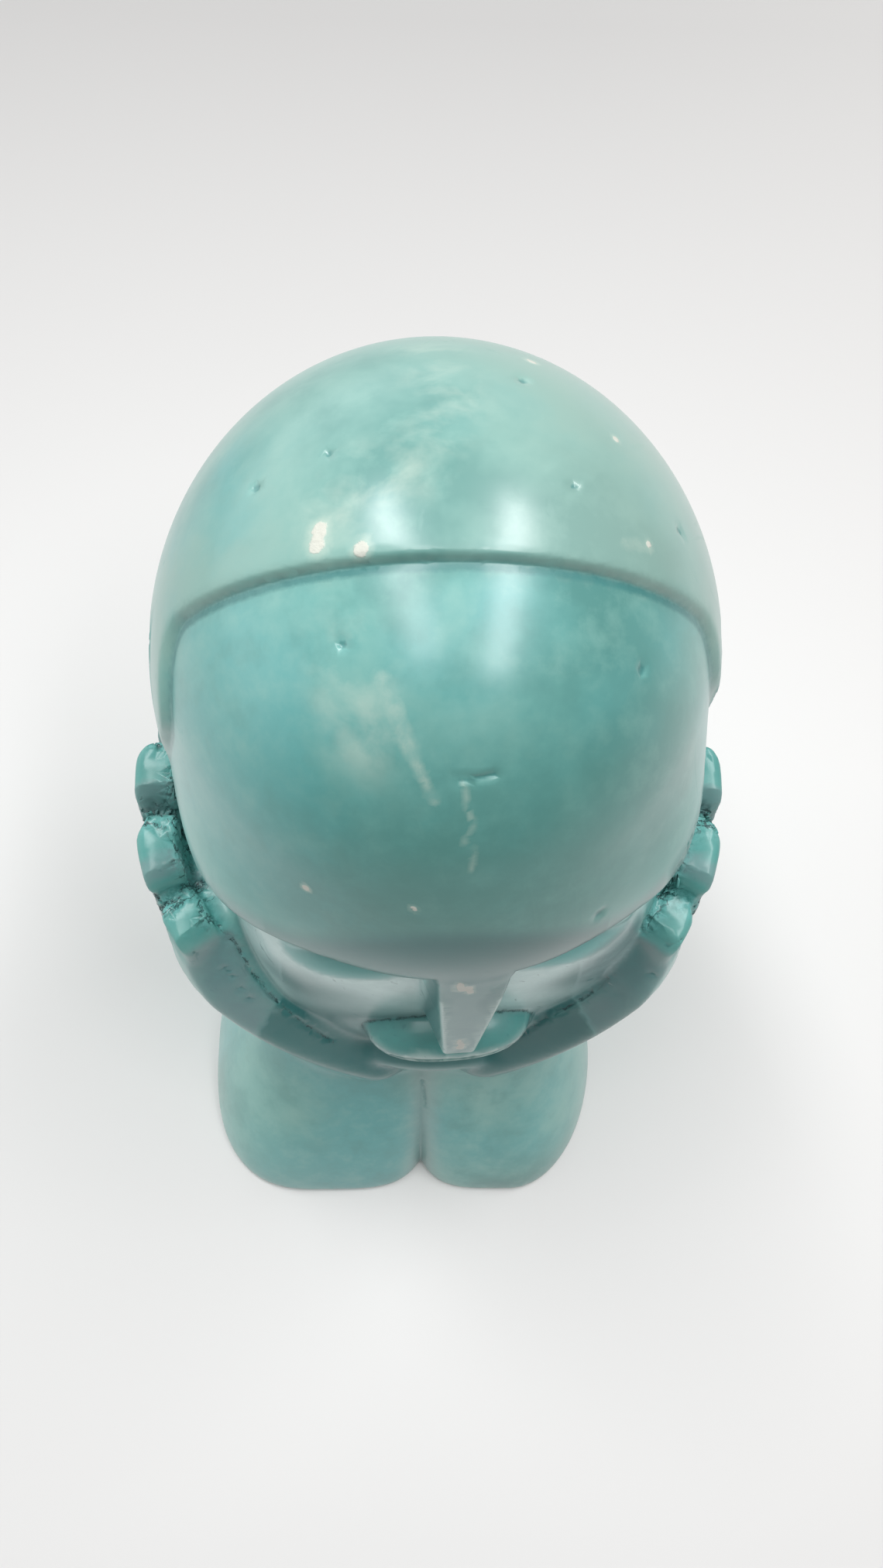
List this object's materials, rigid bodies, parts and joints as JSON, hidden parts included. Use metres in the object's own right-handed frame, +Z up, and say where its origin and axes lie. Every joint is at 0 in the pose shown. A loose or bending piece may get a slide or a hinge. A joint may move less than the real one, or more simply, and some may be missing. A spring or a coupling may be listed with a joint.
{
  "type": "soapstone head-in-hands carving",
  "caption": "Small polished stone carving of a head with a raised cap of hair, resting in its own cupped hands on forearms that run down to a flat two-lobed foot.",
  "frame": {"origin": "middle of the bounding box's outline, on the ground under the foot", "axes": "+Z up from the foot to the crown, -Y the way the face looks, +X the carving's left-hand side"},
  "size_m": [0.1154, 0.1386, 0.1938],
  "materials": {
    "dyed_soapstone": "dyed teal, waxed and polished, with rough chiselled notches between the fingertips"
  },
  "bodies": {
    "root": {"head_in_hands_carving": "dyed_soapstone"}
  },
  "joints": []
}
